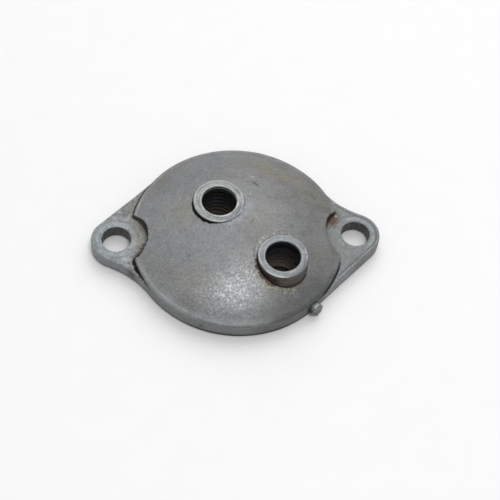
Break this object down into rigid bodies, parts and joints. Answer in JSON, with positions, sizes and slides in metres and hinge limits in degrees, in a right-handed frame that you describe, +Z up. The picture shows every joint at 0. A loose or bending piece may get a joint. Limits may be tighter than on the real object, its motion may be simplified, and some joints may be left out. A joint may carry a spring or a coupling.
{
  "type": "cylinder head",
  "caption": "Small domed cylinder head on a two-eared plate, with open port sleeves through the dome and a locating stub on the rim.",
  "frame": {"origin": "middle of the gasket's lower face, at the base of the part", "axes": "+X runs through both bolt holes, +Z points up out of the dome, +Y is away from the port that stands proud"},
  "size_m": [0.0692, 0.0504, 0.0129],
  "materials": {
    "plate_cast": "weathered cast, rubbed lighter on its edges",
    "dome_cast": "grey cast skin, satin, with brown stain",
    "sleeve_metal": "turned, dull, dark inside",
    "pin_metal": "dull steel",
    "seal_rubber": "matt",
    "ring_steel": "blackened spring steel",
    "gasket": "matt, oily"
  },
  "bodies": {
    "root": {"flange_plate": "plate_cast", "dome_cover": "dome_cast", "rear_port_sleeve": "sleeve_metal", "front_port_sleeve": "sleeve_metal", "index_pin": "pin_metal", "cover_seal": "seal_rubber", "retaining_ring": "ring_steel", "head_gasket": "gasket"}
  },
  "joints": []
}
